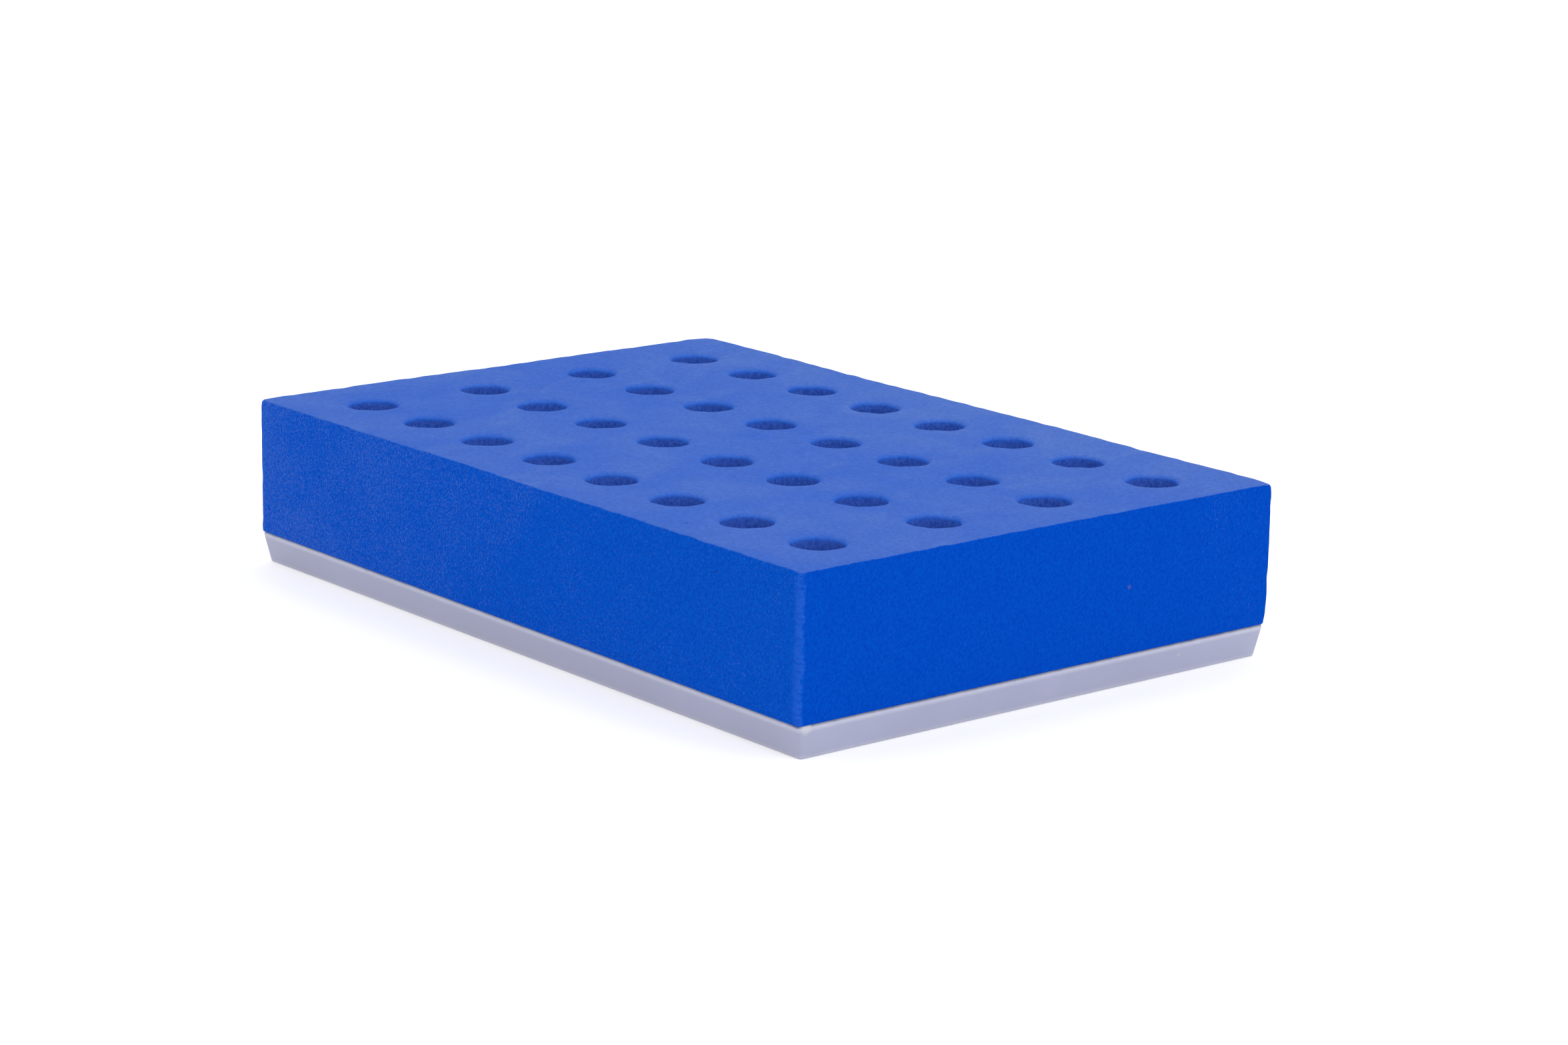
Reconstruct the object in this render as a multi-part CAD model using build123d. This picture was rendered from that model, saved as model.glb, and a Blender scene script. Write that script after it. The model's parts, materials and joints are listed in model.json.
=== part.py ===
from build123d import *
import os

# Test tube rack: one thick block of closed-cell foam with four rows of eight upright
# holes, pushed down into a shallow moulded tray that closes the holes underneath.
# Millimetres. +X runs along the long side, +Y along the short side, +Z up.
# The origin is the middle of the tray's foot, on the table.

os.makedirs("parts", exist_ok=True)

# --- tube holes: punched right through the foam ------------------------------
hole_diameter = 16.0          # takes a standard 16 mm school test tube
holes_long = 8                # holes in each row, along X
holes_short = 4               # rows, along Y
pitch_long = 32.0             # between holes in a row
pitch_short = 44.5            # between rows
pattern_shift_x = 1.8         # the pattern is punched a little off the block's centre
pattern_shift_y = -1.0

# --- moulded tray: its walls lean outwards and its rim is rounded ------------
rim_length, rim_width, rim_corner = 275.4, 187.2, 1.8       # outside, at the top of the wall
foot_length, foot_width, foot_corner = 272.2, 182.6, 1.5    # outside, where it stands
tray_height = 10.4
tray_wall = 3.0
tray_floor = 2.4
rim_round = 1.4
foot_round = 0.5
foot_ring_width = 7.0         # the flat ring that the tray stands on
recess_depth = 0.8            # the floor inside that ring is clear of the table
recess_corner = 3.0
least_corner = 1.0            # plan radius left at the inside corners

# --- foam block: stands on the tray's floor and overhangs its rim ------------
block_length, block_width, block_corner = 276.0, 188.0, 1.6
block_top = 54.8              # the top face, above the table
top_round = 0.9
shoulder_round = 0.6
shoulder_gap = 0.2            # shadow gap between the rim and the overhang
plug_gap = 0.3                # all round, where the foam goes down into the tray


def wall_outline(z, inset):
    """The tray wall's rounded plan at height z, moved inwards by inset."""
    rise = z / tray_height
    length = foot_length + rise * (rim_length - foot_length)
    width = foot_width + rise * (rim_width - foot_width)
    corner = foot_corner + rise * (rim_corner - foot_corner)
    plan = RectangleRounded(
        length - 2 * inset, width - 2 * inset, max(corner - inset, least_corner)
    )
    return Plane.XY.offset(z) * (Sketch() + plan)


def leaning_slab(z_low, z_high, inset):
    """A slab between two heights, with its sides parallel to the tray's leaning wall."""
    return loft([wall_outline(z_low, inset), wall_outline(z_high, inset)], ruled=True)


def top_rim(solid):
    return solid.faces().sort_by(Axis.Z)[-1].edges()


def bottom_rim(solid):
    return solid.faces().sort_by(Axis.Z)[0].edges()


def make_tray():
    tray = leaning_slab(0, tray_height, 0)
    tray = fillet(top_rim(tray), rim_round)
    tray = fillet(bottom_rim(tray), foot_round)
    tray -= leaning_slab(tray_floor, tray_height, tray_wall)
    recess = RectangleRounded(
        foot_length - 2 * foot_ring_width, foot_width - 2 * foot_ring_width, recess_corner
    )
    return tray - extrude(recess, recess_depth)


def make_foam_block():
    shoulder = tray_height + shoulder_gap
    plan = RectangleRounded(block_length, block_width, block_corner)
    block = extrude(Plane.XY.offset(shoulder) * plan, block_top - shoulder)
    block = fillet(top_rim(block), top_round)
    block = fillet(bottom_rim(block), shoulder_round)
    block += leaning_slab(tray_floor, shoulder, tray_wall + plug_gap)
    punch = Cylinder(hole_diameter / 2, 2 * block_top)
    pattern = Pos(pattern_shift_x, pattern_shift_y, block_top / 2)
    for spot in GridLocations(pitch_long, pitch_short, holes_long, holes_short):
        block -= pattern * spot * punch
    return block


export_step(make_tray(), "parts/base_tray.step")
export_step(make_foam_block(), "parts/foam_block.step")
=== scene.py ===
# %% [markdown]
# # A foam test tube rack
#
# The rack is two pieces: a thick block of blue closed-cell foam with rows of round holes, and
# the shallow grey tray that the block is pushed into. This lesson makes both as surfaces
# worked out with numpy, gives each a finish built from nodes, and lights them like a product
# on a white table. The main sizes and places come from the fixed model, so the pieces need no
# fitting.

# %% Load the fixed model
import json
import math

import bmesh
import bpy
import numpy as np
from mathutils import Matrix, Vector


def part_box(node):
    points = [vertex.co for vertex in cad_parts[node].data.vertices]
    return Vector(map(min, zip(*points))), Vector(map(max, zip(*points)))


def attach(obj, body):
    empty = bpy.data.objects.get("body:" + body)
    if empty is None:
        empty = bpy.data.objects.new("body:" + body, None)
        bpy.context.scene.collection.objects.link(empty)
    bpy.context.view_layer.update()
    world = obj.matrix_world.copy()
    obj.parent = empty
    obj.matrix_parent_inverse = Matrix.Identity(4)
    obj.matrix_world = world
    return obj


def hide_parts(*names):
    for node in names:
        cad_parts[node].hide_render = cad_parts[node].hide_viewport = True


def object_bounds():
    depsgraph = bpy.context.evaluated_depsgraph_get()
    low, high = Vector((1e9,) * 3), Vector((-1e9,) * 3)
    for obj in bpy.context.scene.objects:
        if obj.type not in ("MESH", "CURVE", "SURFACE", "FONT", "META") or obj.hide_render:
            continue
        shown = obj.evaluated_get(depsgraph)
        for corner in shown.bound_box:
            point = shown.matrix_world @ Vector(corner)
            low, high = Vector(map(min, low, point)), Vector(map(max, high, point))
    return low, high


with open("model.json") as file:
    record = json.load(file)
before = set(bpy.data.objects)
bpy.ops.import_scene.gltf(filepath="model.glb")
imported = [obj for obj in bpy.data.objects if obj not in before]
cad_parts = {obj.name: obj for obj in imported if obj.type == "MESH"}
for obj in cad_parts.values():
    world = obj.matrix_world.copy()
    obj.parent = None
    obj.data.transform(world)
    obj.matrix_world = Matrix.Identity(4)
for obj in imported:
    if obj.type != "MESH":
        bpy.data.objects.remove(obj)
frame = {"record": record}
cad_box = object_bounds()

mm = 0.001
foam_low, foam_high = (np.array(corner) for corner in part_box("foam_block"))
tray_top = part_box("base_tray")[1][2]
bores = [m for m in frame["record"]["mounts"] if m["kind"] == "bore"]
hole_radius = bores[0]["dims"]["r_mm"] * mm
hole_x = np.array(sorted({m["pos_m"][0] for m in bores}))
hole_y = np.array(sorted({m["pos_m"][1] for m in bores}))
print(f"{len(bores)} holes, {2000 * hole_radius:.0f} mm across, in a block "
      f"{1000 * (foam_high - foam_low)[0]:.0f} mm long")

# %% [markdown]
# ## Camera
#
# The camera stands well back with a short telephoto lens, a little above the table, and looks
# at the corner between the long and the short side. It is placed by two angles and a distance
# from a point near the middle of the rack, and leans very slightly to one side.

# %% Camera
camera_turn = math.radians(49.89)     # from the long front side towards the short side
camera_rise = math.radians(13.89)
camera_roll = math.radians(1.22)
camera_distance = 1.241
camera_lens = 89.7
camera_aside = 0.0119                 # the rack sits a little left of the picture's middle
camera_above = 0.0005

from_rack = Vector((
    math.sin(camera_turn) * math.cos(camera_rise),
    -math.cos(camera_turn) * math.cos(camera_rise),
    math.sin(camera_rise),
))
level_right = Vector((math.cos(camera_turn), math.sin(camera_turn), 0))
level_up = from_rack.cross(level_right)
right = level_right * math.cos(camera_roll) + level_up * math.sin(camera_roll)
up = from_rack.cross(right)
rack_middle = (cad_box[0] + cad_box[1]) / 2
camera = bpy.data.objects.new("camera", bpy.data.cameras.new("camera"))
camera.data.lens = camera_lens
aim = rack_middle + level_right * camera_aside + Vector((0, 0, camera_above))
camera.matrix_world = (Matrix.Translation(aim + from_rack * camera_distance)
                       @ Matrix((right, up, from_rack)).transposed().to_4x4())
bpy.context.scene.collection.objects.link(camera)
bpy.context.scene.camera = camera
print("camera", round(camera_distance, 2), "m from the rack, at", camera.location[:])

# %% [markdown]
# ## Floor and light
#
# A white floor under a white sky gives the even light of a white cloth tent: the top and the
# sides are nearly equally bright, and shadows are faint. A very wide sun overhead lifts
# the floor to plain white, helped by a faint glow of the floor's own, as from a light table.
# One large soft lamp, faintly blue, stands on the short side. It sets how bright the two seen
# sides are against each other.

# %% Floor, sky and lamps
floor_size = 12.0
corners = np.array([(-1, -1, 0), (1, -1, 0), (1, 1, 0), (-1, 1, 0)]) * floor_size / 2
floor_mesh = bpy.data.meshes.new("floor")
floor_mesh.from_pydata(corners.tolist(), [], [(0, 1, 2, 3)])
floor = bpy.data.objects.new("floor", floor_mesh)
bpy.context.scene.collection.objects.link(floor)

floor_paint = bpy.data.materials.new("white_table")
floor_paint.use_nodes = True
floor_surface = floor_paint.node_tree.nodes["Principled BSDF"]
floor_surface.inputs["Base Color"].default_value = (0.94, 0.94, 0.94, 1)
floor_surface.inputs["Roughness"].default_value = 0.8
floor_surface.inputs["Specular IOR Level"].default_value = 0.05
floor_surface.inputs["Emission Color"].default_value = (1, 0.98, 0.93, 1)    # the glow
floor_surface.inputs["Emission Strength"].default_value = 0.16
floor_mesh.materials.append(floor_paint)

sky = bpy.data.worlds.new("sky")
sky.use_nodes = True
sky.node_tree.nodes["Background"].inputs["Color"].default_value = (1, 1, 1, 1)
sky.node_tree.nodes["Background"].inputs["Strength"].default_value = 1.0
bpy.context.scene.world = sky
bpy.context.scene.view_settings.view_transform = "Standard"

overhead_sun = bpy.data.objects.new("overhead_sun", bpy.data.lights.new("overhead_sun", "SUN"))
overhead_sun.data.energy = 0.62
overhead_sun.data.angle = math.radians(120)
bpy.context.scene.collection.objects.link(overhead_sun)

side_lamp = bpy.data.objects.new("short_side_lamp", bpy.data.lights.new("short_side_lamp", "AREA"))
side_lamp.data.size = 1.2
side_lamp.data.energy = 6.3
side_lamp.data.color = (0.86, 0.92, 1)
side_lamp.location = (1.9, 0.3, 0.8)
to_rack = rack_middle - side_lamp.location
side_lamp.rotation_euler = to_rack.to_track_quat("-Z", "Y").to_euler()
bpy.context.scene.collection.objects.link(side_lamp)

# %% [markdown]
# ## Meshes from grids
#
# Both pieces are rings of points stacked in rows: a ring is carried from row to row, and the
# quads between two rows are the surface. Index arithmetic makes all the quads at once. A ring
# that runs anticlockwise seen from above, in rows that climb, has its faces outwards.


# %% Quads, and a finished piece
def ring_quads(rows, ring, start=0):
    """Quads between stacked closed rings: point m of row k joins m + 1 and row k + 1, and
    the last point of a ring joins the first."""
    k, m = np.meshgrid(np.arange(rows - 1), np.arange(ring), indexing="ij")
    after = (m + 1) % ring
    below, above = k * ring, (k + 1) * ring
    quads = np.stack([below + m, below + after, above + after, above + m], -1)
    return start + quads.reshape(-1, 4)


def sheet_quads(rows, columns, start=0, face_down=False):
    """Quads of an open grid of points, turned over if the sheet faces down."""
    k, m = np.meshgrid(np.arange(rows - 1), np.arange(columns - 1), indexing="ij")
    near, far = k * columns + m, (k + 1) * columns + m
    quads = np.stack([near, far, far + 1, near + 1], -1).reshape(-1, 4)
    return start + (quads[:, ::-1] if face_down else quads)


same_point = 0.002 * mm                       # points of two grids that are closer than this


def make_piece(name, points, quads, values):
    """A smooth, closed piece. Points that several grids share are merged, and values holds
    a number for each point under each attribute's name."""
    mesh = bpy.data.meshes.new(name)
    mesh.from_pydata(points.tolist(), [], quads.tolist())
    for key, numbers in values.items():
        layer = mesh.attributes.new(key, "FLOAT", "POINT")
        layer.data.foreach_set("value", np.ascontiguousarray(numbers, np.float32))
    shell = bmesh.new()
    shell.from_mesh(mesh)
    bmesh.ops.remove_doubles(shell, verts=shell.verts, dist=same_point)
    open_edges = sum(not edge.is_manifold for edge in shell.edges)
    shell.to_mesh(mesh)
    shell.free()
    mesh.shade_smooth()
    piece = bpy.data.objects.new(name, mesh)
    bpy.context.scene.collection.objects.link(piece)
    print(f"{name}: {len(mesh.vertices)} points, {len(mesh.polygons)} faces,"
          f" {open_edges} open edges")
    return piece


# %% [markdown]
# ## Rounded outlines that share their points
#
# Seen from above, every level of both pieces is a rectangle with rounded corners. Points are
# first spaced along a square-cornered rectangle, closer together near its ends. Then each
# corner is pulled in: squares about the centre of the corner's arc become circles. The
# spacing near the ends follows the tangent, so the pulled points are evenly spread on the arc.

# %% Spacing along a side, and rounding of corners
arc_steps = 4                                 # steps on half of a corner's arc
wave_count, wave_peak = 7, 3.2                # waves added up, and what their sum rarely passes


def side_points(lines, count, corner):
    """Places along one side. Between two lines there are count steps; at each end the last
    arc_steps of them stand at corner * tan(angle) for equal angles up to 45 degrees."""
    knots = np.r_[lines[0] + corner, lines[1:-1], lines[-1] - corner]
    steps = np.full(len(knots) - 1, count)
    steps[0] -= arc_steps
    steps[-1] -= arc_steps
    straight = [np.linspace(a, b, n, endpoint=False) for a, b, n in zip(knots, knots[1:], steps)]
    near_end = corner * np.tan(np.linspace(0, math.pi / 4, arc_steps + 1))
    return np.concatenate([knots[0] - near_end[:0:-1], *straight, knots[-1] + near_end])


def pull_corners(plan, half, corner):
    """A point in a corner's square moves along its line from the arc's centre, from the
    square through it to the circle of the same reach. Other points stay."""
    centre = np.clip(plan, corner - half, half - corner)
    away = plan - centre
    reach = np.abs(away).max(-1, keepdims=True)
    length = np.linalg.norm(away, axis=-1, keepdims=True)
    return centre + away * (reach / np.maximum(length, 1e-12))


def outline(xs, ys, half, corner):
    """The rectangle's edge as one anticlockwise ring, with its corners rounded."""
    x = np.r_[xs[:-1], np.full(len(ys) - 1, xs[-1]), xs[:0:-1], np.full(len(ys) - 1, xs[0])]
    y = np.r_[np.full(len(xs) - 1, ys[0]), ys[:-1], np.full(len(xs) - 1, ys[-1]), ys[:0:-1]]
    return pull_corners(np.stack([x, y], -1), half, corner)


def at_height(plan, z):
    """Points of a plan, put in space at height z."""
    return np.concatenate([plan, np.full(plan.shape[:-1] + (1,), z)], -1)


def drift(points, size, seed):
    """A smooth wandering value between about -1 and 1: the sum of seven sine waves whose
    directions and phases come from the seed, with wavelengths around size."""
    rng = np.random.default_rng(seed)
    directions = rng.normal(size=(wave_count, 3))
    directions /= np.linalg.norm(directions, axis=1, keepdims=True)
    waves = directions * 2 * math.pi / (size * rng.uniform(0.6, 1.5, (wave_count, 1)))
    phases = rng.uniform(0, 2 * math.pi, wave_count)
    return np.sin(points @ waves.T + phases).sum(-1) / wave_peak


def ease(value, low, high):
    """0 below low, 1 above high, and a smooth S between."""
    t = np.clip((value - low) / (high - low), 0, 1)
    return t * t * (3 - 2 * t)


print("a rounded corner has", 2 * arc_steps, "steps")

# %% [markdown]
# ## The foam block: sizes
#
# The real block is cut from thick foam sheet with a blade, and its holes are punched. So its
# faces are nearly flat but never quite true, its edges are soft, and the punch drags the skin
# down into a small rounded lip. The lowest few millimetres are squeezed by the tray.

# %% Sizes of the foam block
foam_half = (foam_high[:2] - foam_low[:2]) / 2
foam_top = foam_high[2]
foam_foot = foam_low[2] + 0.1 * mm            # just clear of the tray's floor
foam_corner = 1.5 * mm                        # radius in plan
edge_round = 1.2 * mm                         # radius of the soft top edge
lip_width, lip_depth = 2.0 * mm, 1.3 * mm     # how far the skin bends into a hole
shoulder = tray_top + 0.2 * mm                # underside of the overhang, just above the rim
squeeze_height, squeeze_depth = 2.8 * mm, 0.35 * mm
droop = 0.4 * mm                              # how far the overhang sinks over the round rim
tray_wall, tray_floor = 3.0 * mm, foam_low[2]
plug_gap = 0.35 * mm                          # between the plug and the tray's wall
rim_half = np.array([137.7, 93.6]) * mm       # the leaning wall, carried up to the rim's height
foot_half = np.array([136.1, 91.3]) * mm      # and down to the table


def tray_half(z):
    """Half the tray's outside length and width at height z, in line with its leaning wall."""
    return foot_half + (rim_half - foot_half) * z / tray_top


cell_steps = 16                               # steps along each side of a hole's cell
x_lines = (hole_x[1:] + hole_x[:-1]) / 2
y_lines = (hole_y[1:] + hole_y[:-1]) / 2


def foam_sides(half, corner):
    """The spacing along X and along Y, for a level of the block of this size."""
    xs = side_points(np.r_[-half[0], x_lines, half[0]], cell_steps, corner)
    ys = side_points(np.r_[-half[1], y_lines, half[1]], cell_steps, corner)
    return xs, ys


print("foam block in mm: half sizes", (foam_half / mm).round(1), "top at", round(foam_top / mm, 1))
print("one level of its sides has", 2 * (len(hole_x) + len(hole_y)) * cell_steps, "points")

# %% [markdown]
# ### Holes and the top skin
#
# The top is divided into one cell for each hole. A cell is a function of two parameters:
# the way round, and the way in from the cell's edge to the hole. The same rings then carry
# on over the lip, down the hole's wall and out across the underside, so each hole and its
# share of the top and bottom are one continuous surface.


# %% One surface for all the holes
def cell_edges(half, corner):
    """The edge of every hole's cell as a ring of points, cell_steps to a side, anticlockwise."""
    xs, ys = foam_sides(half, corner)
    step, full = np.arange(cell_steps), np.full(cell_steps, cell_steps)
    along = np.r_[step, full, cell_steps - step, 0 * step]
    across = np.roll(along, cell_steps)
    x = xs[np.arange(len(hole_x))[:, None, None] * cell_steps + along]
    y = ys[np.arange(len(hole_y))[None, :, None] * cell_steps + across]
    return pull_corners(np.stack(np.broadcast_arrays(x, y), -1), half, corner)


top_half, top_corner = foam_half - edge_round, foam_corner - edge_round
plug_half, plug_corner = tray_half(foam_foot) - tray_wall - plug_gap, 1.1 * mm
foot_round = 0.6 * mm                         # radius of the plug's lower edge
top_edges = cell_edges(top_half, top_corner)
foot_edges = cell_edges(plug_half - foot_round, plug_corner - foot_round)
centres = np.stack(np.meshgrid(hole_x, hole_y, indexing="ij"), -1)[:, :, None]
bearing = np.arctan2(*np.moveaxis(top_edges - centres, -1, 0)[::-1])
spokes = np.stack([np.cos(bearing), np.sin(bearing)], -1)

hole_rows, skin_rows, lining_rows = [], [], []


def add_hole_row(plan, z, skin, lining):
    """One ring of every hole at height z, and how much of it is top skin and hole wall."""
    hole_rows.append(at_height(plan, z))
    skin_rows.append(np.full(plan.shape[:-1], skin))
    lining_rows.append(np.full(plan.shape[:-1], lining))


lip_ring = centres + (hole_radius + lip_width) * spokes
hole_foot = centres + hole_radius * spokes
for share in np.linspace(0, 1, 10)[:-1] ** 0.8:
    add_hole_row(top_edges + (lip_ring - top_edges) * share, foam_top, 1.0, 0.0)
for turn in np.linspace(0, math.pi / 2, 9):
    lip = centres + (hole_radius + lip_width * (1 - math.sin(turn))) * spokes
    half_lining = ease(turn, 0.4, 1.2)        # half the wall's colour comes on round the lip
    full_lining = ease(turn, 1.25, 1.57)      # and the rest at its foot
    add_hole_row(lip, foam_top - lip_depth * (1 - math.cos(turn)),
                 1.0, 0.5 * half_lining + 0.5 * full_lining)
for depth in np.linspace(0, 1, 13)[1:] ** 1.6:
    wall_z = foam_top - lip_depth - depth * (foam_top - lip_depth - foam_foot)
    add_hole_row(hole_foot, wall_z, 0.0, 1.0)
for share in (0.5, 1.0):
    add_hole_row(hole_foot + (foot_edges - hole_foot) * share, foam_foot, 0.0, 0.0)

hole_grid = np.stack(hole_rows, 2)            # hole along X, hole along Y, row, ring, xyz
print("hole surfaces:", hole_grid.shape)

# %% [markdown]
# ### Sides, corners and the plug in the tray
#
# The sides are the block's outline carried up a profile: the plug's foot, its leaning wall,
# the underside of the overhang, the squeezed lowest part, the upright side and the soft top
# edge. Each row of the profile gives the outline's half size, its corner radius and a height.

# %% Rows of the sides, from the foot up
side_rows = []


def add_side_row(half, corner, z, skin=0.0):
    """One ring of the sides at height z, and how much of it is top skin."""
    xs, ys = foam_sides(half, corner)
    side_rows.append((at_height(outline(xs, ys, half, corner), z), skin))


for turn in np.linspace(0, math.pi / 2, 4):
    inset = foot_round * (1 - math.sin(turn))
    z = foam_foot + foot_round * (1 - math.cos(turn))
    add_side_row(plug_half - inset, plug_corner - inset, z)
for z in np.linspace(foam_foot + foot_round, shoulder, 5)[1:]:
    add_side_row(tray_half(z) - tray_wall - plug_gap, plug_corner, z)
under_round = 0.4 * mm                        # radius of the overhang's lower edge
for inset in (3.0 * mm, 1.6 * mm):            # the flat underside, which clears the rim
    add_side_row(foam_half - inset, plug_corner, shoulder)
wall_foot = shoulder - droop + under_round
for turn in np.linspace(0, math.pi / 2, 5):
    inset = squeeze_depth + under_round * (1 - math.sin(turn))
    add_side_row(foam_half - inset, foam_corner - inset, wall_foot - under_round * math.cos(turn))
wall_levels = np.linspace(wall_foot, foam_top - edge_round, 44)
for z in wall_levels[1:-1]:
    inset = squeeze_depth * (1 - ease(z, wall_foot, shoulder + squeeze_height))
    add_side_row(foam_half - inset, foam_corner - inset, z)
for turn in np.linspace(math.pi / 2, 0, 7):
    inset = edge_round * (1 - math.sin(turn))
    z = foam_top - edge_round * (1 - math.cos(turn))
    add_side_row(foam_half - inset, foam_corner - inset, z, 1 - ease(turn, 0.25, 1.05))

side_grid = np.stack([ring for ring, _ in side_rows])
side_skin = np.repeat([skin for _, skin in side_rows], side_grid.shape[1])
print("side surface:", side_grid.shape)

# %% [markdown]
# ### Put together, then made a little untrue
#
# A cut block of foam is never exact. Every point is pushed by a smooth field that depends
# only on where the point is, so grids that meet stay joined. Close to the upright edges the
# blade has left small nicks, a few millimetres apart. The part inside the tray stays true,
# because it must not touch the plastic.

# %% The foam block
hole_count, ring_size = len(hole_x) * len(hole_y), hole_grid.shape[3]
rows_per_hole = hole_grid.shape[2]
foam_points = np.concatenate([hole_grid.reshape(-1, 3), side_grid.reshape(-1, 3)])
foam_quads = [ring_quads(rows_per_hole, ring_size, n * rows_per_hole * ring_size)
              for n in range(hole_count)]
foam_quads.append(ring_quads(len(side_grid), side_grid.shape[1], hole_grid.size // 3))
foam_quads = np.concatenate(foam_quads)
foam_skin = np.r_[np.stack(skin_rows, 2).ravel(), side_skin]
foam_lining = np.r_[np.stack(lining_rows, 2).ravel(), np.zeros(len(side_skin))]


def distance_to_upright_edge(points):
    """How far each point is, in plan, from the nearest of the block's four upright edges."""
    return np.linalg.norm(np.abs(points[:, :2]) - (foam_half - 0.3 * foam_corner), axis=1)


def distance_to_hole(points):
    """How far each point is, in plan, from the nearest hole's axis."""
    return np.linalg.norm(points[:, None, :2] - centres.reshape(1, -1, 2), axis=-1).min(1)


def drift_in_space(points, size, seeds, reach):
    """A push of up to about reach along each axis, from one drift for each."""
    return np.stack([drift(points, size, seed) for seed in seeds], -1) * reach


def bell(distance, width):
    """1 at no distance, falling to nearly 0 at twice the width."""
    return np.exp(-(distance / width) ** 2)


sag_depth, sag_width = 0.15 * mm, 3 * mm      # how the skin sinks towards a hole
rim_width = 1.5 * mm                          # the strip along the top edge that is less even
edge_width, corner_width = 1.8 * mm, 5 * mm   # how far an edge's wear and a dropped corner reach
chalk_width = 2.3 * mm                        # how far the colour of a worn edge reaches
nick_spacing = 6 * mm


def untrue(points):
    """Where cut foam really lies: slow waves of 0.2 mm, small ripples of 0.08 mm that are
    stronger round the holes and along the top edge, a sag of 0.15 mm towards each hole, top
    corners that have dropped, and upright edges worn back by up to 0.3 mm, with nicks. The
    left front edge is the most worn, and the right back edge the least. Nothing passes the
    fixed model's box. Also gives how close each point is to an upright edge."""
    above = ease(points[:, 2], shoulder + 0.5 * mm, shoulder + 4 * mm)
    at_top = ease(points[:, 2], foam_top - 4 * mm, foam_top - 0.5 * mm)
    slow = drift_in_space(points, 75 * mm, (3, 4, 5), 0.2 * mm)
    ripple = drift_in_space(points, 10 * mm, (6, 7, 8), 0.08 * mm)
    from_hole = np.maximum(distance_to_hole(points) - hole_radius, 0)
    sag = at_top * np.exp(-from_hole / sag_width)
    from_rim = (foam_half - np.abs(points[:, :2])).min(1)
    at_rim = at_top * bell(from_rim, rim_width)
    upright = distance_to_upright_edge(points)
    mostly_height = points * np.array([0.05, 0.05, 1.0])
    nick = np.clip(drift(mostly_height, nick_spacing, 11) - 0.1, 0, 1)
    left, back = points[:, 0] < 0, points[:, 1] > 0
    worn_back = np.where(left, np.where(back, 0.2, 0.3), np.where(back, 0.0, 0.12)) * mm
    nick_depth = np.where(back | left, 0.12, 0.4) * mm
    dropped = at_top * bell(upright, corner_width) * np.where(left & back, 0.25, 0.15) * mm
    moved = slow + ripple * (1 + 0.4 * sag + 0.4 * at_rim)[:, None]
    moved[:, 2] -= sag_depth * sag + dropped
    push = (worn_back + nick_depth * nick) * bell(upright, edge_width) + 0.7 * dropped
    moved[:, :2] -= push[:, None] * np.sign(points[:, :2]) / math.sqrt(2)
    untrue_points = np.clip(points + above[:, None] * moved, foam_low, foam_high)
    return untrue_points, bell(upright, chalk_width)


foam_points, foam_edge = untrue(foam_points)
foam_block = make_piece("foam_block_cut", foam_points, foam_quads,
                        {"skin": foam_skin, "lining": foam_lining, "edge": foam_edge})

# %% [markdown]
# ## The moulded tray
#
# The tray is injection moulded: a thin wall of even thickness that leans outwards so that it
# leaves its mould, a rounded rim, and a shallow recess underneath so that it stands on a flat
# ring and doesn't rock. It is one profile carried round the outline, and two flat panels.

# %% Rows of the tray, from the recess underneath, out and over the rim, to the floor inside
tray_rows = []
tray_corner_foot, tray_corner_rim = 1.1 * mm, 1.4 * mm
rim_round, inner_rim_round, tray_foot_round = 1.4 * mm, 0.3 * mm, 0.5 * mm
recess_depth, foot_ring = 0.8 * mm, 7.0 * mm  # foot_ring is the width of what it stands on
recess_corner, recess_bevel = 3.0 * mm, 0.3 * mm
inside_corner = 1.0 * mm
tray_counts = (48, 34)                        # steps along the long and the short side


def tray_ring(half, corner, z):
    """A ring of the tray at one level, and the spacing along its sides."""
    xs = side_points(np.array([-half[0], half[0]]), tray_counts[0] + arc_steps, corner)
    ys = side_points(np.array([-half[1], half[1]]), tray_counts[1] + arc_steps, corner)
    return at_height(outline(xs, ys, half, corner), z), xs, ys


def lean_corner(z):
    """The plan corner radius of the tray's outside at height z."""
    return tray_corner_foot + (tray_corner_rim - tray_corner_foot) * z / tray_top


def add_tray_row(half, corner, z, wear=0.0):
    """One ring of the tray at height z, and how much its edge is worn and painted with highlight
    there.
    """
    tray_rows.append((tray_ring(half, corner, z)[0], wear))


recess_half = foot_half - foot_ring
add_tray_row(recess_half - recess_bevel, recess_corner, recess_depth)
add_tray_row(recess_half, recess_corner, recess_depth - recess_bevel)
add_tray_row(recess_half, recess_corner, 0.0)
for turn in np.linspace(0, math.pi / 2, 5):
    inset = tray_foot_round * (1 - math.sin(turn))
    z = tray_foot_round * (1 - math.cos(turn))
    add_tray_row(tray_half(z) - inset, lean_corner(z) - inset, z, 0.6)
for z in np.linspace(tray_foot_round, tray_top - rim_round, 9)[1:-1]:
    add_tray_row(tray_half(z), lean_corner(z), z)
for turn in np.linspace(math.pi / 2, 0, 9):
    inset = rim_round * (1 - math.sin(turn))
    z = tray_top - rim_round * (1 - math.cos(turn))
    add_tray_row(tray_half(z) - inset, lean_corner(z) - inset, z, 1.0)
for turn in np.linspace(0, math.pi / 2, 4):
    inset = tray_wall - inner_rim_round * (1 - math.sin(turn))
    z = tray_top - inner_rim_round * (1 - math.cos(turn))
    add_tray_row(tray_half(z) - inset, inside_corner + tray_wall - inset, z, 0.5)
for z in np.linspace(tray_top - inner_rim_round, tray_floor, 5)[1:]:
    add_tray_row(tray_half(z) - tray_wall, inside_corner, z)


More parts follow.
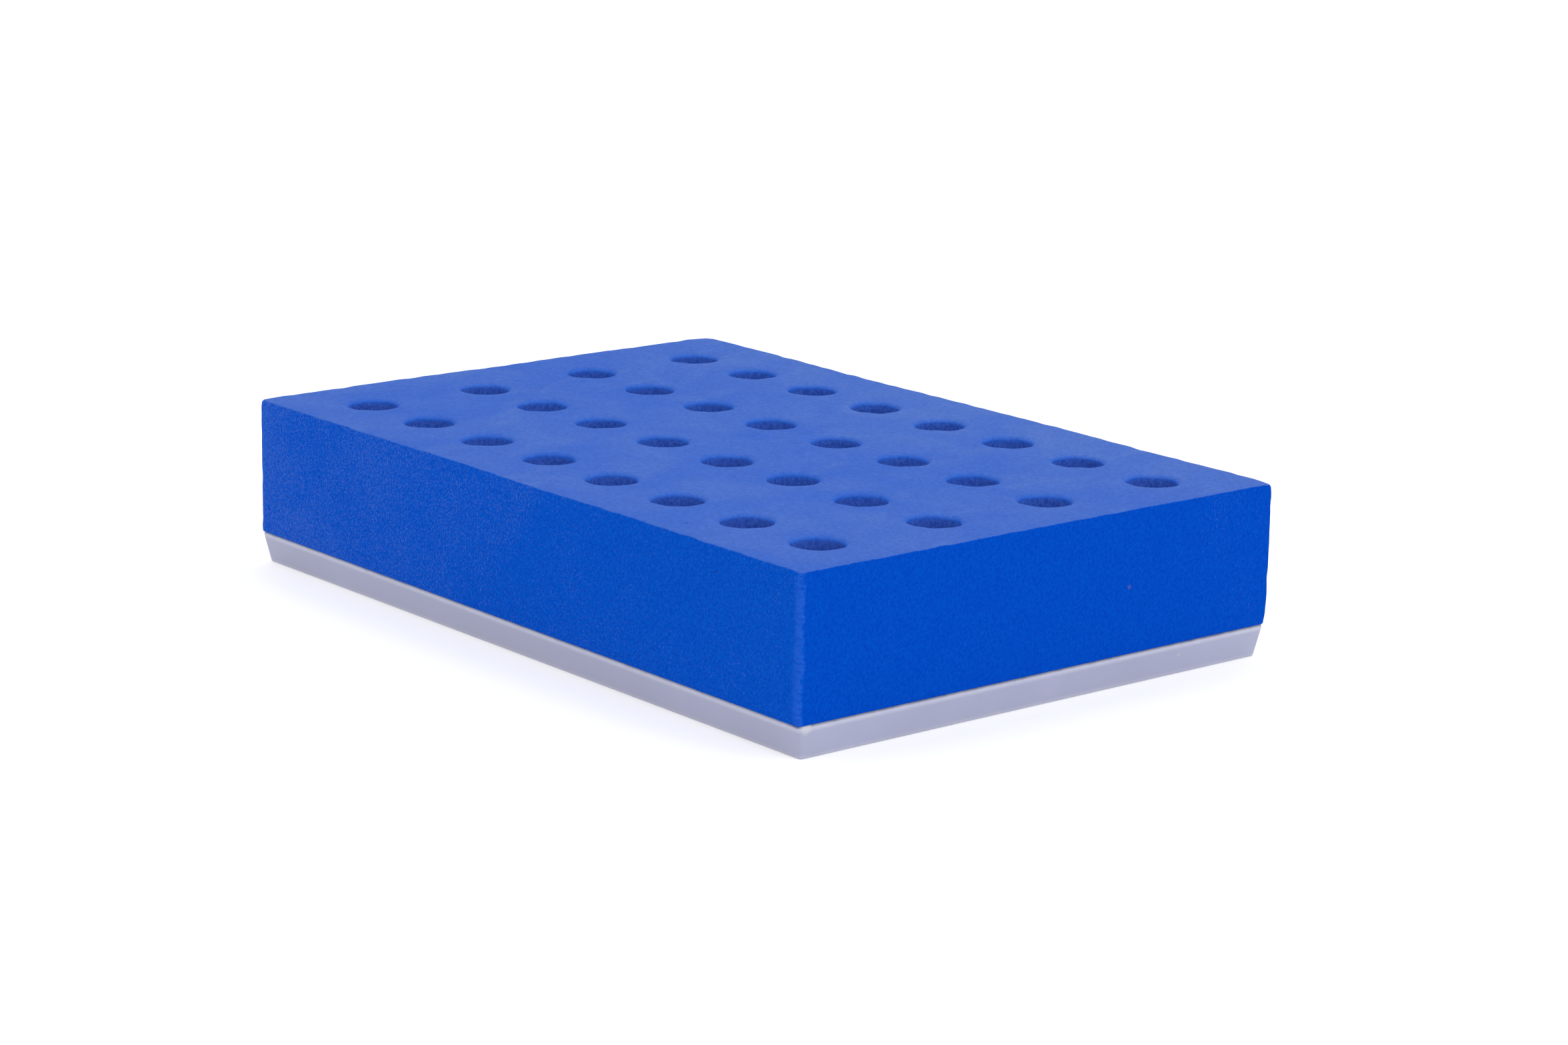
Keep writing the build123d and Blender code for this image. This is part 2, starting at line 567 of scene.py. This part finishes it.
def flat_panel(half, corner, z):
    """A flat rounded rectangle as a grid whose edge points are those of tray_ring."""
    _, xs, ys = tray_ring(half, corner, z)
    grid = np.stack(np.meshgrid(xs, ys, indexing="ij"), -1)
    return at_height(pull_corners(grid, half, corner), z)


ceiling = flat_panel(recess_half - recess_bevel, recess_corner, recess_depth)
inside = flat_panel(tray_half(tray_floor) - tray_wall, inside_corner, tray_floor)
wall_grid = np.stack([ring for ring, _ in tray_rows])
panel_shape = ceiling.shape[:2]
tray_points = np.concatenate([grid.reshape(-1, 3) for grid in (wall_grid, ceiling, inside)])
wall_size, panel_size = wall_grid.size // 3, ceiling.size // 3
tray_quads = np.concatenate([
    ring_quads(len(wall_grid), wall_grid.shape[1]),
    sheet_quads(*panel_shape, start=wall_size, face_down=True),
    sheet_quads(*panel_shape, start=wall_size + panel_size),
])
tray_wear_and_highlight = np.r_[np.repeat([wear for _, wear in tray_rows], wall_grid.shape[1]),
                  np.zeros(2 * panel_size)]
base_tray = make_piece("base_tray_moulded", tray_points, tray_quads, {"edge": tray_wear_and_highlight})

# %% [markdown]
# ## Nodes that several finishes share
#
# Grain, scuffs, worn edges and stray spots turn up on the foam and on the plastic, at other
# sizes. Each is a node group with named inputs. It puts out a mask or a height, and the
# material decides what to do with it.


# %% Small helpers for node trees
def feed(tree, socket, value):
    """A socket takes either another node's output or a plain value."""
    if isinstance(value, bpy.types.NodeSocket):
        tree.links.new(value, socket)
    else:
        socket.default_value = value


def node(tree, kind, inputs=(), **settings):
    """A node with its settings, and its inputs filled by name or number."""
    made = tree.nodes.new("ShaderNode" + kind)
    for name, value in settings.items():
        setattr(made, name, value)
    for key, value in dict(inputs).items():
        feed(tree, made.inputs[key], value)
    return made


def maths(tree, operation, a, b, clamp=False):
    """The result of one sum, such as ADD or MULTIPLY."""
    return node(tree, "Math", {0: a, 1: b}, operation=operation, use_clamp=clamp).outputs[0]


def between(tree, value, low, high, to_low=0.0, to_high=1.0):
    """The value's place between low and high, smoothly, as a number from to_low to to_high."""
    made = node(tree, "MapRange", {0: value, 1: low, 2: high, 3: to_low, 4: to_high},
                interpolation_type="SMOOTHSTEP")
    return made.outputs[0]


def mix(tree, factor, a, b, blend="MIX"):
    """Colour a where factor is 0, and colour b where it is 1."""
    made = node(tree, "Mix", {0: factor, 6: a, 7: b}, data_type="RGBA", blend_type=blend)
    return made.outputs[2]


def noise(tree, vector, scale, detail=3.0, roughness=0.5, distortion=0.0):
    """Noise around 0.5, with scale lumps to a metre."""
    made = node(tree, "TexNoise", {"Vector": vector, "Scale": scale, "Detail": detail,
                                   "Roughness": roughness, "Distortion": distortion})
    return made.outputs["Fac"]


def start_group(name, inputs, outputs):
    """An empty group with named sockets. Returns its tree, its inputs and its output node."""
    tree = bpy.data.node_groups.new(name, "ShaderNodeTree")
    for label, kind, value in inputs:
        socket = tree.interface.new_socket(label, in_out="INPUT", socket_type=kind)
        if value is not None:
            socket.default_value = value
    for label in outputs:
        tree.interface.new_socket(label, in_out="OUTPUT", socket_type="NodeSocketFloat")
    return tree, tree.nodes.new("NodeGroupInput").outputs, tree.nodes.new("NodeGroupOutput")


def use_group(tree, group, **inputs):
    """A group placed in a tree with its own values. Gives its outputs by name."""
    made = tree.nodes.new("ShaderNodeGroup")
    made.node_tree = group
    for label, value in inputs.items():
        feed(tree, made.inputs[label], value)
    return made.outputs


FLOAT, VECTOR = "NodeSocketFloat", "NodeSocketVector"

# %% The shared groups
# Grain: fine noise of one size. Tone runs from 0 to 1, and Height is the same noise with its
# full range, for a bump.
grain, inlet, outlet = start_group(
    "surface_grain", [("Vector", VECTOR, None), ("Size", FLOAT, 0.001), ("Roughness", FLOAT, 0.5)],
    ["Tone", "Height"])
per_metre = maths(grain, "DIVIDE", 1.0, inlet["Size"])
fine = noise(grain, inlet["Vector"], per_metre, roughness=inlet["Roughness"])
feed(grain, outlet.inputs["Height"], fine)
feed(grain, outlet.inputs["Tone"], between(grain, fine, 0.30, 0.70))

# Scuffs: specks that crowd together inside larger soft patches. Cover says how much of the
# surface they take, from 0 for none to 1 for nearly all.
scuffs, inlet, outlet = start_group(
    "scuffs", [("Vector", VECTOR, None), ("Patch", FLOAT, 0.03), ("Speck", FLOAT, 0.0008),
               ("Cover", FLOAT, 0.5)], ["Mask"])
per_metre = maths(scuffs, "DIVIDE", 1.0, inlet["Patch"])
patch = noise(scuffs, inlet["Vector"], per_metre, roughness=0.55, distortion=0.4)
per_metre = maths(scuffs, "DIVIDE", 1.0, inlet["Speck"])
speck = noise(scuffs, inlet["Vector"], per_metre, detail=2.0, roughness=0.6)
crowding = maths(scuffs, "MULTIPLY", maths(scuffs, "SUBTRACT", patch, 0.5), 0.3)
crowd = maths(scuffs, "ADD", speck, crowding)
cover = maths(scuffs, "MULTIPLY", maths(scuffs, "SUBTRACT", inlet["Cover"], 0.5), 0.5)
covered = maths(scuffs, "ADD", crowd, cover)
feed(scuffs, outlet.inputs["Mask"], between(scuffs, covered, 0.42, 0.72))

# Worn edge: the closeness to an edge, broken up by noise.
worn, inlet, outlet = start_group(
    "worn_edge", [("Vector", VECTOR, None), ("Closeness", FLOAT, 0.0), ("Break", FLOAT, 0.003),
                  ("Amount", FLOAT, 0.5)], ["Mask"])
per_metre = maths(worn, "DIVIDE", 1.0, inlet["Break"])
broken = noise(worn, inlet["Vector"], per_metre, detail=4.0, roughness=0.65)
close = between(worn, inlet["Closeness"], 0.1, 0.9)
broken_less_near = maths(worn, "ADD", broken, maths(worn, "MULTIPLY", close, 0.30))
ragged = between(worn, broken_less_near, 0.50, 0.95)
feed(worn, outlet.inputs["Mask"],
     maths(worn, "MULTIPLY", maths(worn, "MULTIPLY", ragged, close), inlet["Amount"], True))

# Spot: a soft ragged mark at one place, for a fleck of lint, a smudge or a painted highlight.
spot, inlet, outlet = start_group(
    "spot", [("Vector", VECTOR, None), ("Centre", VECTOR, None), ("Radius", FLOAT, 0.001)],
    ["Mask"])
reach = node(spot, "VectorMath", {0: inlet["Vector"], 1: inlet["Centre"]}, operation="DISTANCE")
wobble = noise(spot, inlet["Vector"], 900.0, detail=2.0)
ragged_reach = maths(spot, "MULTIPLY", reach.outputs["Value"], maths(spot, "ADD", wobble, 0.5))
outwards = maths(spot, "DIVIDE", ragged_reach, inlet["Radius"])
feed(spot, outlet.inputs["Mask"], between(spot, outwards, 0.35, 1.0, 1.0, 0.0))
print("node groups:", [g.name for g in bpy.data.node_groups])

# %% [markdown]
# ## Blue foam
#
# One material serves the whole block, because one piece of foam has one colour. What differs
# is how it was cut. The skin on top is hazy and paler, with cloudy marks: partly its own colour
# and partly a painted sheen, as of light grazing it, which grows towards the back. The sawn
# sides are a deep matte blue, with a fine grain that slants the way the blade went and chalky
# specks where they were rubbed. The punched walls of the holes are rough and a duller blue,
# with painted light on the lip. Attributes on the points say which is which: skin, lining,
# and edge for how close an upright edge is.

# %% Colours of the foam
cut_blue, cut_blue_light = (0.0002, 0.045, 0.388, 1), (0.0004, 0.065, 0.452, 1)
long_blue, long_blue_light = (0.0005, 0.053, 0.400, 1), (0.0016, 0.077, 0.486, 1)
# The skin's blues are partly its own colour and partly a painted sheen, which makes the top paler
# and hazier than the sides.
skin_and_sheen_blue, skin_and_sheen_blue_light = (0.042, 0.118, 0.485, 1), (0.070, 0.148, 0.480, 1)
lining_blue, lining_blue_light = (0.026, 0.082, 0.42, 1), (0.056, 0.145, 0.59, 1)
# The lip's clearer, brighter blue is painted light, where the lip faces the light.
lip_lit_blue, lip_lit_blue_light = (0.018, 0.112, 0.57, 1), (0.032, 0.145, 0.66, 1)
chalk, worn_blue = (0.045, 0.110, 0.465, 1), (0.020, 0.100, 0.52, 1)
grain_blue, grain_blue_light = (0.5, 0.6, 0.7, 1), (1.4, 1.3, 1.2, 1)   # times the skin's colour
blade_direction = (0, math.radians(52), math.radians(45))
front_face = foam_low[1]                      # where the front long side lies, along Y
flecks = (                                    # place, radius, colour
    ((0.138, 0.0338, 0.0311), 0.0009, (0.045, 0.075, 0.34, 1)),
    ((0.0747, -0.084, 0.0548), 0.0006, (0.01, 0.02, 0.12, 1)),
    ((0.1002, -0.094, 0.0471), 0.0005, (0.01, 0.02, 0.12, 1)),
)
print(len(flecks), "flecks on the foam")


# %% Parts of the foam's finish
def start_material(name):
    """A new material: its tree, its Principled node, and the piece's own coordinates."""
    material = bpy.data.materials.new(name)
    material.use_nodes = True
    tree = material.node_tree
    place = node(tree, "TexCoord").outputs["Object"]
    return material, tree, tree.nodes["Principled BSDF"], place


def attribute(tree, name):
    """A piece's attribute of this name, as a number."""
    return node(tree, "Attribute", attribute_name=name).outputs["Fac"]


def sawn_side(tree, place, along_blade, on_long_side, tone):
    """The sawn sides: a slanting grain. The front long side is a little lighter and has chalky
    specks, densest at its left end, and the short sides have a few towards the back."""
    cut = mix(tree, on_long_side, mix(tree, tone, cut_blue, cut_blue_light),
              mix(tree, tone, long_blue, long_blue_light))
    along, across, _ = node(tree, "SeparateXYZ", {0: place}).outputs
    to_left = between(tree, along, 90 * mm, -140 * mm, 0.19, 0.52)
    to_back = between(tree, across, 50 * mm, 94 * mm, 0.06, 0.24)
    cover = maths(tree, "ADD", to_back, maths(tree, "MULTIPLY", on_long_side, to_left))
    rubbed = use_group(tree, scuffs, Vector=along_blade, Patch=0.030, Speck=0.00055, Cover=cover)
    return mix(tree, maths(tree, "MULTIPLY", rubbed["Mask"], 0.75), cut, chalk)


def top_skin_and_sheen(tree, place, tone):
    """The skin: soft clouds, a few drawn-out smears and a very fine grain, on a painted sheen
    that makes it paler and hazier than the sides, and lighter towards the back."""
    clouds = noise(tree, place, 32.0, roughness=0.45, distortion=0.8)
    drawn_out = node(tree, "Mapping", {"Vector": place, "Rotation": (0, 0, 0.35),
                                       "Scale": (1, 2.5, 1)}, vector_type="TEXTURE")
    smears = noise(tree, drawn_out.outputs[0], 45.0, distortion=1.5)
    marked = maths(tree, "ADD", between(tree, clouds, 0.30, 0.74),
                   between(tree, smears, 0.55, 0.76, 0, 0.8))
    across = node(tree, "SeparateXYZ", {0: place}).outputs["Y"]
    # Painted sheen: the skin grows lighter towards the back.
    light = maths(tree, "ADD", marked, between(tree, across, 10 * mm, 94 * mm, 0.0, 0.7))
    hazy = mix(tree, maths(tree, "MULTIPLY", light, 0.6), skin_and_sheen_blue, skin_and_sheen_blue_light)
    return mix(tree, 0.32, hazy, mix(tree, tone, grain_blue, grain_blue_light), "MULTIPLY")


def hole_wall(tree, height, tone):
    """A punched wall: a clear blue round the lip, brighter as painted light where the lip faces
    the light, then a duller blue with some grey below.
    """
    lip_foot = foam_top - lip_depth
    below = between(tree, height, lip_foot, lip_foot - 0.6 * mm)
    # Painted light: the brighter blue round the lip.
    return mix(tree, below, mix(tree, tone, lip_lit_blue, lip_lit_blue_light),
               mix(tree, tone, lining_blue, lining_blue_light))


def worn_corner(tree, place, across, edge, cut):
    """The sawn colour, with the two front upright edges rubbed lighter. The rubbed band lies on
    the long side, and little hooks of it reach round the corner."""
    ragged = noise(tree, place, 380.0, detail=5.0, roughness=0.72)
    hooks = maths(tree, "MULTIPLY", maths(tree, "SUBTRACT", ragged, 0.5), 7 * mm)
    hooked = maths(tree, "ADD", across, hooks)
    before_corner = between(tree, hooked, front_face + 1.8 * mm, front_face + 1.2 * mm)
    sliced = node(tree, "Mapping", {"Vector": place, "Scale": (2.5, 2.5, 0.8)},
                  vector_type="TEXTURE")
    wear = use_group(tree, worn, Vector=sliced.outputs[0], Break=0.0010, Amount=0.65,
                     Closeness=maths(tree, "MULTIPLY", edge, before_corner))
    return mix(tree, wear["Mask"], cut, worn_blue)


# %% Blue foam
def blue_foam():
    """The whole block's material."""
    material, tree, surface, place = start_material("blue_foam")
    skin, lining, edge = (attribute(tree, name) for name in ("skin", "lining", "edge"))
    _, across, height = node(tree, "SeparateXYZ", {0: place}).outputs
    on_long_side = between(tree, across, front_face + 2.5 * mm, front_face + 1.0 * mm)
    along_blade = node(tree, "Mapping", {"Vector": place, "Rotation": blade_direction,
                                         "Scale": (1, 1, 2.2)}, vector_type="TEXTURE").outputs[0]
    grains = use_group(tree, grain, Vector=along_blade, Size=0.0007, Roughness=0.6)
    torn = use_group(tree, grain, Vector=place, Size=0.0010, Roughness=0.7)

    cut = sawn_side(tree, place, along_blade, on_long_side, grains["Tone"])
    cut = worn_corner(tree, place, across, edge, cut)
    frayed = maths(tree, "ADD", maths(tree, "MULTIPLY", grains["Height"], 0.5),
                   maths(tree, "MULTIPLY", noise(tree, place, 260.0, detail=2.0), 0.5))
    fuzzy_skin = between(tree, maths(tree, "ADD", skin, frayed), 0.75, 1.35)
    skin_grain = use_group(tree, grain, Vector=place, Size=0.0012, Roughness=0.7)
    hazy = top_skin_and_sheen(tree, place, skin_grain["Tone"])
    walls = hole_wall(tree, height, torn["Tone"])
    colour = mix(tree, lining, mix(tree, fuzzy_skin, cut, hazy), walls)
    for centre, radius, tint in flecks:
        fleck = use_group(tree, spot, Vector=place, Centre=centre, Radius=radius)
        colour = mix(tree, fleck["Mask"], colour, tint)
    feed(tree, surface.inputs["Base Color"], colour)

    relief = mix(tree, lining, grains["Height"], torn["Height"])
    strength = maths(tree, "SUBTRACT", 0.42, maths(tree, "MULTIPLY", skin, 0.17))
    bump = node(tree, "Bump", {"Height": relief, "Strength": strength, "Distance": 0.0005})
    feed(tree, surface.inputs["Normal"], bump.outputs[0])
    feed(tree, surface.inputs["Roughness"], between(tree, skin, 0.0, 1.0, 0.95, 0.75))
    surface.inputs["Specular IOR Level"].default_value = 0.02
    surface.inputs["Specular Tint"].default_value = (0.3, 0.6, 1, 1)
    return material


foam_finish = blue_foam()
foam_block.data.materials.append(foam_finish)
print("foam finish:", len(foam_finish.node_tree.nodes), "nodes")

# %% [markdown]
# ## Grey plastic
#
# The tray is a cool light grey plastic with a satin mould finish. Up close the gloss varies
# a little from handling, the rim is rubbed lighter and also carries a painted highlight, and
# there are a faint smudge, a small speck, and a painted highlight on the rim near the front
# corner. A thin line of painted shadow lies on the rim, close under the foam.

# %% Grey plastic
plastic_grey, plastic_grey_light = (0.301, 0.309, 0.430, 1), (0.326, 0.334, 0.463, 1)
# The rubbed grey serves both the real rubbing and the painted highlight on the rim.
rubbed_and_highlight_grey, grimy_grey = (0.50, 0.51, 0.60, 1), (0.28, 0.29, 0.39, 1)
seam_shadow_grey = (0.05, 0.06, 0.12, 1)             # painted shadow on the rim, close under the foam
marks_and_highlight = (                                     # place, radius, colour
    ((0.1363, 0.0041, 0.0052), 0.0045, (0.32, 0.325, 0.46, 1)),
    ((0.1367, 0.057, 0.0062), 0.0007, (0.50, 0.48, 0.36, 1)),
    # Painted highlight: a pale patch on the rim near the front corner, where it catches the light.
    ((0.1370, -0.0905, 0.0098), 0.0028, (0.48, 0.48, 0.53, 1)),
)


def grey_plastic():
    """The tray's material."""
    material, tree, surface, place = start_material("grey_plastic")
    cloud = noise(tree, place, 16.0, distortion=0.5)
    colour = mix(tree, between(tree, cloud, 0.35, 0.68), plastic_grey, plastic_grey_light)
    edge = attribute(tree, "edge")
    # Painted highlight: the rounded rim and foot made evenly lighter, as where they catch the
    # light.
    colour = mix(tree, maths(tree, "MULTIPLY", edge, 0.38), colour, rubbed_and_highlight_grey)
    along, _, height = node(tree, "SeparateXYZ", {0: place}).outputs
    # Painted shadow: a dark line on the rim's top, in the gap under the foam.
    under_foam_shade = between(tree, height, tray_top - 1.0 * mm, tray_top - 0.6 * mm)
    seam_shadow_strength = between(tree, along, 134 * mm, 136 * mm, 0.5, 0.75)    # painted shadow, strongest on the right short side
    colour = mix(tree, maths(tree, "MULTIPLY", under_foam_shade, seam_shadow_strength), colour, seam_shadow_grey)
    rubbed = use_group(tree, worn, Vector=place, Closeness=edge, Break=0.006, Amount=0.35)
    colour = mix(tree, rubbed["Mask"], colour, rubbed_and_highlight_grey)
    handled = use_group(tree, scuffs, Vector=place, Patch=0.04, Speck=0.002, Cover=0.1)
    colour = mix(tree, maths(tree, "MULTIPLY", handled["Mask"], 0.3), colour, grimy_grey)
    for centre, radius, tint in marks_and_highlight:
        mark = use_group(tree, spot, Vector=place, Centre=centre, Radius=radius)
        colour = mix(tree, mark["Mask"], colour, tint)
    feed(tree, surface.inputs["Base Color"], colour)
    pores = use_group(tree, grain, Vector=place, Size=0.0007, Roughness=0.5)
    bump = node(tree, "Bump", {"Height": pores["Height"], "Strength": 0.10, "Distance": 0.0001})
    feed(tree, surface.inputs["Normal"], bump.outputs[0])
    feed(tree, surface.inputs["Roughness"],
         maths(tree, "ADD", between(tree, cloud, 0.3, 0.7, 0.34, 0.44),
               maths(tree, "MULTIPLY", handled["Mask"], 0.15)))
    return material


tray_finish = grey_plastic()
base_tray.data.materials.append(tray_finish)
print("tray finish:", len(tray_finish.node_tree.nodes), "nodes")

# %% [markdown]
# ## Ride on the fixed model
#
# Each piece takes the place of its plain solid and moves with that solid's body, so the foam
# lifts out of the tray as it does in the motion model.

# %% Hand over
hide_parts("foam_block")
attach(foam_block, "foam_insert")
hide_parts("base_tray")
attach(base_tray, "tray")
print(foam_block.name, "and", base_tray.name, "stand for the two solids")
